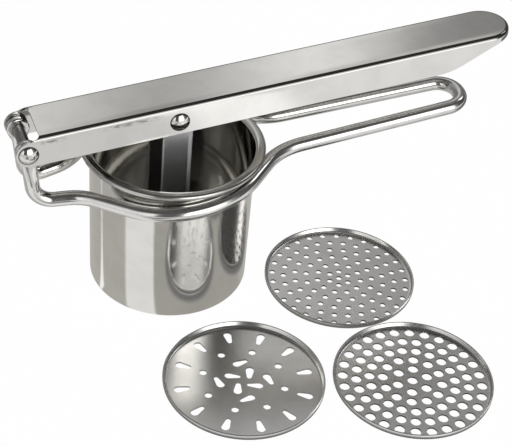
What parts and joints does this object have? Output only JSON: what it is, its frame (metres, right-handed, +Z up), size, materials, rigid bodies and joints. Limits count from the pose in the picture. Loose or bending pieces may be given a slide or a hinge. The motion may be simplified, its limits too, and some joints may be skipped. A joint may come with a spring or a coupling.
{
  "type": "potato ricer",
  "caption": "Hand-held potato ricer: steel cup in a bent wire frame, a hinged channel lever with a hanging plunger, and perforated discs laid beside it.",
  "frame": {"origin": "centre of the cup's foot, on the surface it stands on", "axes": "+Z up along the cup's axis, +X along the handles towards the grip end, hinge on the -X side, +Y to the side away from the loose discs"},
  "size_m": [0.2509, 0.1979, 0.1246],
  "materials": {
    "polished_wire": "polished stainless steel wire and tube",
    "polished_sheet": "polished stainless steel sheet, fine drawing marks",
    "satin_sheet": "satin stainless steel sheet",
    "rivet_steel": "polished steel rivet",
    "disc_sheet": "stainless steel sheet, pierced and lightly polished"
  },
  "bodies": {
    "frame": {"wire_frame": "polished_wire", "cup": "polished_sheet", "hinge_sleeve": "polished_wire"},
    "lever": {"lever": "satin_sheet", "hinge_pin": "rivet_steel", "hinge_washers": "rivet_steel", "plunger_pin": "rivet_steel"},
    "plunger": {"plunger_strap": "satin_sheet", "plunger_spacer": "polished_wire", "press_plate": "polished_sheet"},
    "fine_disc": {"fine_disc": "disc_sheet"},
    "medium_disc": {"medium_disc": "disc_sheet"},
    "droplet_disc": {"droplet_disc": "disc_sheet"}
  },
  "joints": [
    {"name": "lever_hinge", "type": "hinge", "parent": "frame", "child": "lever", "pos_m": [-0.07321, 0, 0.09216], "axis": [0, -1, 0], "range_deg": [0, 55]},
    {"name": "plunger_pivot", "type": "hinge", "parent": "lever", "child": "plunger", "pos_m": [-0.0015, 0, 0.0992], "axis": [0, -1, 0], "range_deg": [-36, 0]},
    {"name": "fine_disc_lift", "type": "slide", "parent": "frame", "child": "fine_disc", "axis": [0, 0, 1], "range_m": [0, 0.05]},
    {"name": "medium_disc_lift", "type": "slide", "parent": "frame", "child": "medium_disc", "axis": [0, 0, 1], "range_m": [0, 0.05]},
    {"name": "droplet_disc_lift", "type": "slide", "parent": "frame", "child": "droplet_disc", "axis": [0, 0, 1], "range_m": [0, 0.05]}
  ],
  "couplings": [
    {"joint": "plunger_pivot", "follows": "lever_hinge", "ratio": -0.63}
  ]
}
